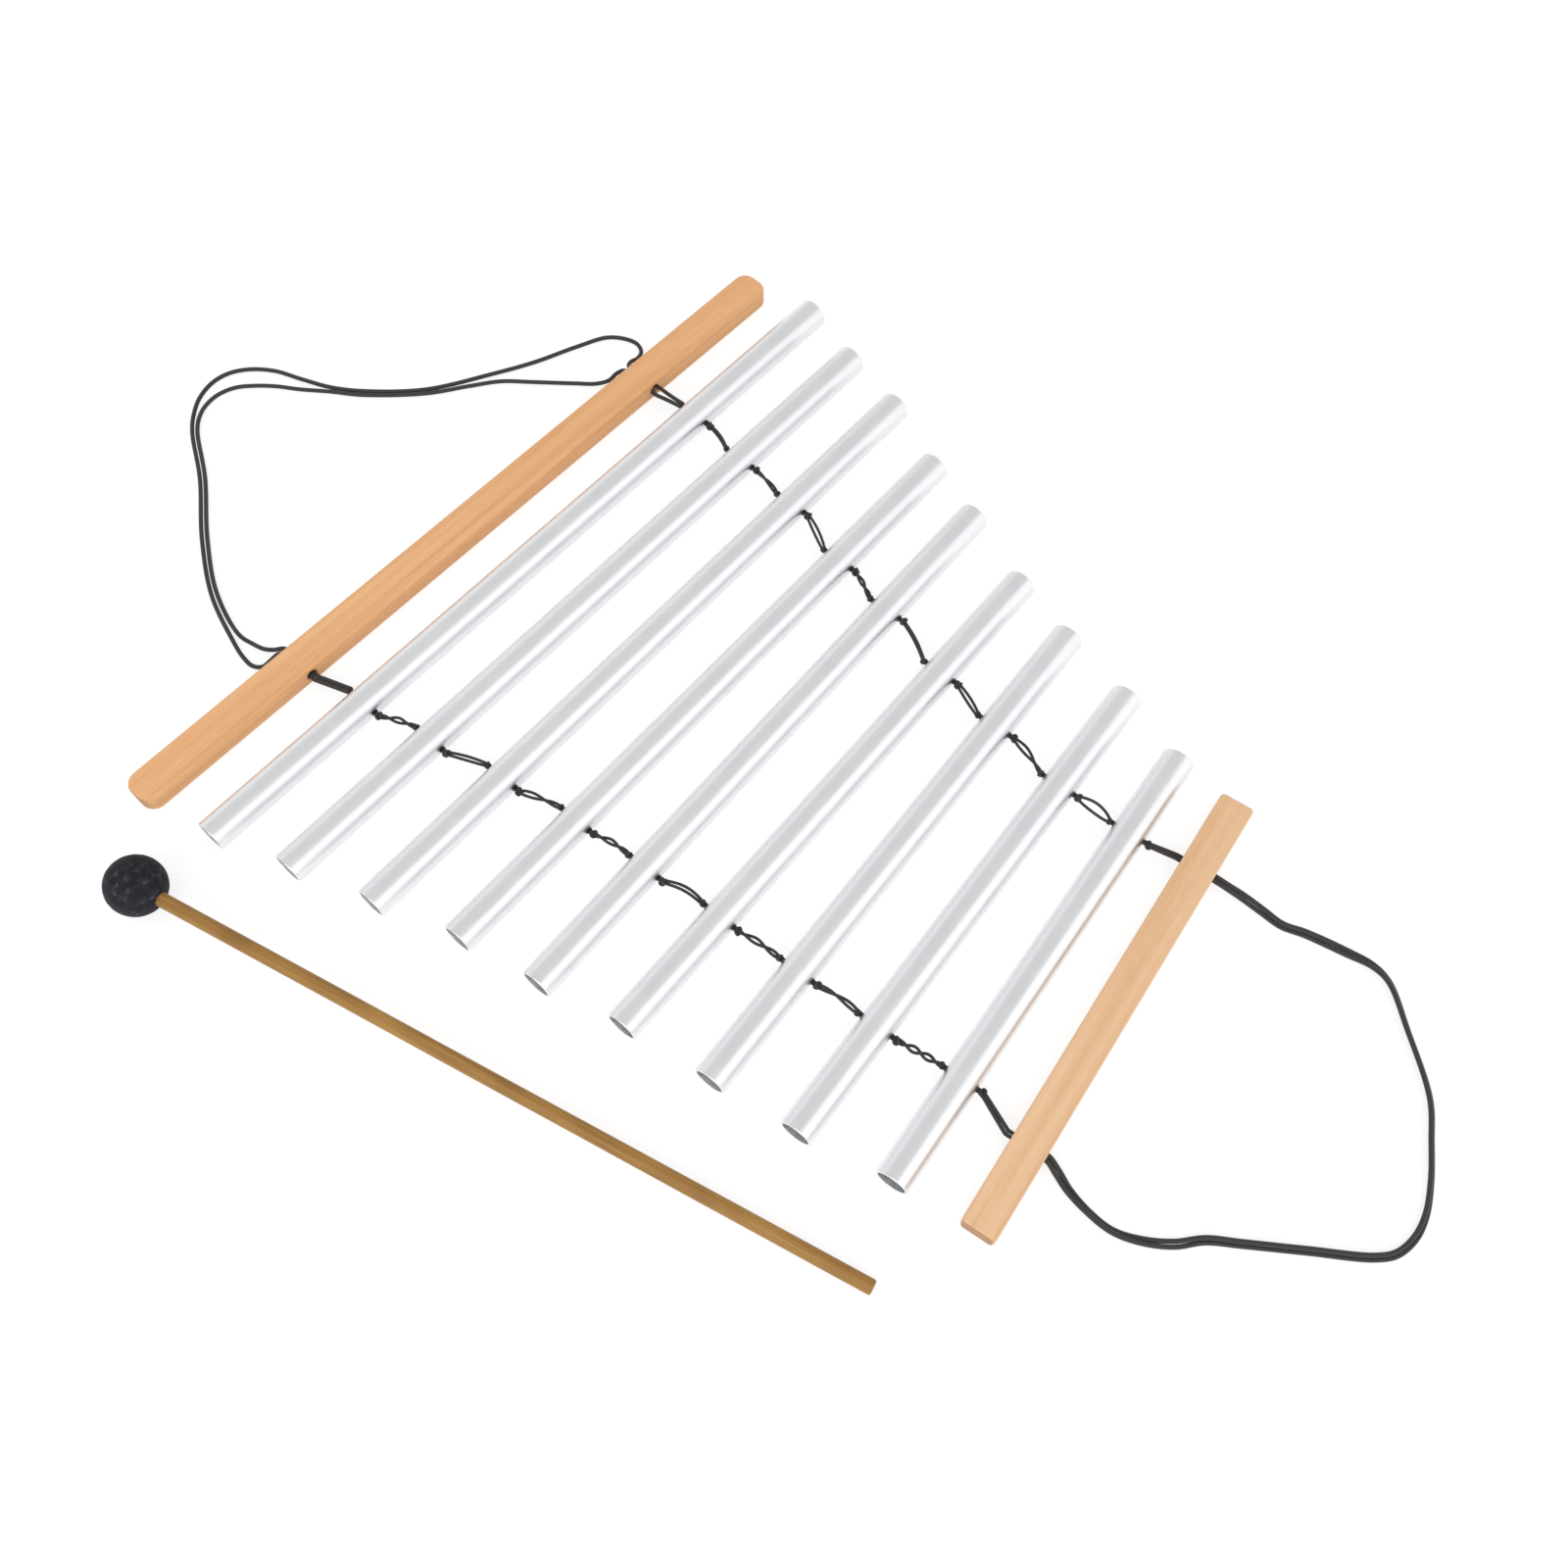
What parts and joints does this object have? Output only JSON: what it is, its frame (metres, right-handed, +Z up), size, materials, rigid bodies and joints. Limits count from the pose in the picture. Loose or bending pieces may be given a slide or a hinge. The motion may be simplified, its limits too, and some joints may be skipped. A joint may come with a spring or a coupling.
{
  "type": "handheld tubular chime with mallet",
  "caption": "Handheld chime: graded metal tubes strung like ladder rungs on doubled cords between two wooden bars with carrying loops, and a ball mallet.",
  "frame": {"origin": "on the table, in the middle of the footprint of everything but the two carrying loops", "axes": "+X from the long bar to the short bar, +Y along the tubes away from the mallet, +Z up from the table that the chime lies on"},
  "size_m": [0.6386, 0.4142, 0.0249],
  "materials": {
    "aluminium": "smooth drawn tube, satin",
    "long_bar_wood": "sanded hardwood, thin clear oil",
    "short_bar_wood": "sanded hardwood, thin clear oil",
    "loop_cord": "round braided cord, black",
    "twine": "twisted waxed twine, black",
    "bamboo": "bamboo stick, satin",
    "mallet_rubber": "matte mottled rubber"
  },
  "bodies": {
    "long_bar": {"long_bar": "long_bar_wood", "long_bar_near_cord": "loop_cord", "long_bar_far_cord": "loop_cord", "long_loop_outer": "loop_cord", "long_loop_inner": "loop_cord"},
    "cords_1": {"near_cord_1": "loop_cord", "far_cord_1": "loop_cord"},
    "tube_1": {"tube_1": "aluminium", "tube_1_near_knots": "twine", "tube_1_far_knots": "twine"},
    "cords_2": {"near_cord_2": "twine", "far_cord_2": "twine"},
    "tube_2": {"tube_2": "aluminium", "tube_2_near_knots": "twine", "tube_2_far_knots": "twine"},
    "cords_3": {"near_cord_3": "twine", "far_cord_3": "twine"},
    "tube_3": {"tube_3": "aluminium", "tube_3_near_knots": "twine", "tube_3_far_knots": "twine"},
    "cords_4": {"near_cord_4": "twine", "far_cord_4": "twine"},
    "tube_4": {"tube_4": "aluminium", "tube_4_near_knots": "twine", "tube_4_far_knots": "twine"},
    "cords_5": {"near_cord_5": "twine", "far_cord_5": "twine"},
    "tube_5": {"tube_5": "aluminium", "tube_5_near_knots": "twine", "tube_5_far_knots": "twine"},
    "cords_6": {"near_cord_6": "twine", "far_cord_6": "twine"},
    "tube_6": {"tube_6": "aluminium", "tube_6_near_knots": "twine", "tube_6_far_knots": "twine"},
    "cords_7": {"near_cord_7": "twine", "far_cord_7": "twine"},
    "tube_7": {"tube_7": "aluminium", "tube_7_near_knots": "twine", "tube_7_far_knots": "twine"},
    "cords_8": {"near_cord_8": "twine", "far_cord_8": "twine"},
    "tube_8": {"tube_8": "aluminium", "tube_8_near_knots": "twine", "tube_8_far_knots": "twine"},
    "cords_9": {"near_cord_9": "twine", "far_cord_9": "twine"},
    "tube_9": {"tube_9": "aluminium", "tube_9_near_knots": "twine", "tube_9_far_knots": "twine"},
    "cords_10": {"near_cord_10": "loop_cord", "far_cord_10": "loop_cord"},
    "short_bar": {"short_bar": "short_bar_wood", "short_bar_near_cord": "loop_cord", "short_bar_far_cord": "loop_cord", "short_loop_outer": "loop_cord", "short_loop_inner": "loop_cord"},
    "mallet": {"mallet_head": "mallet_rubber", "mallet_shaft": "bamboo"}
  },
  "joints": [
    {"name": "cords_1_at_long_bar", "type": "hinge", "parent": "long_bar", "child": "cords_1", "pos_m": [-0.16272, 0.02117, 0.005], "axis": [-0.0593, -0.9982, 0], "range_deg": [-112, 97]},
    {"name": "cords_1_at_tube_1", "type": "hinge", "parent": "cords_1", "child": "tube_1", "pos_m": [-0.14733, 0.02314, 0.007], "axis": [0.0489, 0.9988, 0], "range_deg": [-105, 105]},
    {"name": "cords_2_at_tube_1", "type": "hinge", "parent": "tube_1", "child": "cords_2", "pos_m": [-0.12895, 0.02224, 0.007], "axis": [0.0489, 0.9988, 0], "range_deg": [-105, 105]},
    {"name": "cords_2_at_tube_2", "type": "hinge", "parent": "cords_2", "child": "tube_2", "pos_m": [-0.11403, 0.02259, 0.007], "axis": [-0.0436, -0.999, 0], "range_deg": [-105, 105]},
    {"name": "cords_3_at_tube_2", "type": "hinge", "parent": "tube_2", "child": "cords_3", "pos_m": [-0.09565, 0.02179, 0.007], "axis": [-0.0436, -0.999, 0], "range_deg": [-105, 105]},
    {"name": "cords_3_at_tube_3", "type": "hinge", "parent": "cords_3", "child": "tube_3", "pos_m": [-0.07943, 0.02321, 0.007], "axis": [0.0349, 0.9994, 0], "range_deg": [-105, 105]},
    {"name": "cords_4_at_tube_3", "type": "hinge", "parent": "tube_3", "child": "cords_4", "pos_m": [-0.06105, 0.02257, 0.007], "axis": [0.0349, 0.9994, 0], "range_deg": [-105, 105]},
    {"name": "cords_4_at_tube_4", "type": "hinge", "parent": "cords_4", "child": "tube_4", "pos_m": [-0.04374, 0.02037, 0.007], "axis": [-0.0297, -0.9996, 0], "range_deg": [-105, 105]},
    {"name": "cords_5_at_tube_4", "type": "hinge", "parent": "tube_4", "child": "cords_5", "pos_m": [-0.02534, 0.01982, 0.007], "axis": [-0.0297, -0.9996, 0], "range_deg": [-105, 105]},
    {"name": "cords_5_at_tube_5", "type": "hinge", "parent": "cords_5", "child": "tube_5", "pos_m": [-0.01024, 0.01748, 0.007], "axis": [0.0087, 1, 0], "range_deg": [-105, 105]},
    {"name": "cords_6_at_tube_5", "type": "hinge", "parent": "tube_5", "child": "cords_6", "pos_m": [0.00816, 0.01732, 0.007], "axis": [0.0087, 1, 0], "range_deg": [-105, 105]},
    {"name": "cords_6_at_tube_6", "type": "hinge", "parent": "cords_6", "child": "tube_6", "pos_m": [0.02656, 0.01368, 0.007], "axis": [-0.0087, -1, 0], "range_deg": [-105, 105]},
    {"name": "cords_7_at_tube_6", "type": "hinge", "parent": "tube_6", "child": "cords_7", "pos_m": [0.04496, 0.01352, 0.007], "axis": [-0.0087, -1, 0], "range_deg": [-105, 105]},
    {"name": "cords_7_at_tube_7", "type": "hinge", "parent": "cords_7", "child": "tube_7", "pos_m": [0.06216, 0.01098, 0.007], "axis": [-0.0244, 0.9997, 0], "range_deg": [-105, 105]},
    {"name": "cords_8_at_tube_7", "type": "hinge", "parent": "tube_7", "child": "cords_8", "pos_m": [0.08056, 0.01143, 0.007], "axis": [-0.0244, 0.9997, 0], "range_deg": [-105, 105]},
    {"name": "cords_8_at_tube_8", "type": "hinge", "parent": "cords_8", "child": "tube_8", "pos_m": [0.09886, 0.0089, 0.007], "axis": [0.0332, -0.9995, 0], "range_deg": [-105, 105]},
    {"name": "cords_9_at_tube_8", "type": "hinge", "parent": "tube_8", "child": "cords_9", "pos_m": [0.11725, 0.00951, 0.007], "axis": [0.0332, -0.9995, 0], "range_deg": [-105, 105]},
    {"name": "cords_9_at_tube_9", "type": "hinge", "parent": "cords_9", "child": "tube_9", "pos_m": [0.13456, 0.01056, 0.007], "axis": [-0.061, 0.9981, 0], "range_deg": [-105, 105]},
    {"name": "cords_10_at_tube_9", "type": "hinge", "parent": "tube_9", "child": "cords_10", "pos_m": [0.15292, 0.01169, 0.007], "axis": [-0.061, 0.9981, 0], "range_deg": [-105, 105]},
    {"name": "cords_10_at_short_bar", "type": "hinge", "parent": "cords_10", "child": "short_bar", "pos_m": [0.1661, 0.01067, 0.005], "axis": [0.0889, -0.996, 0], "range_deg": [-113, 96]},
    {"name": "mallet_lift", "type": "slide", "parent": "long_bar", "child": "mallet", "axis": [0, 0, 1], "range_m": [0, 0.25]}
  ]
}
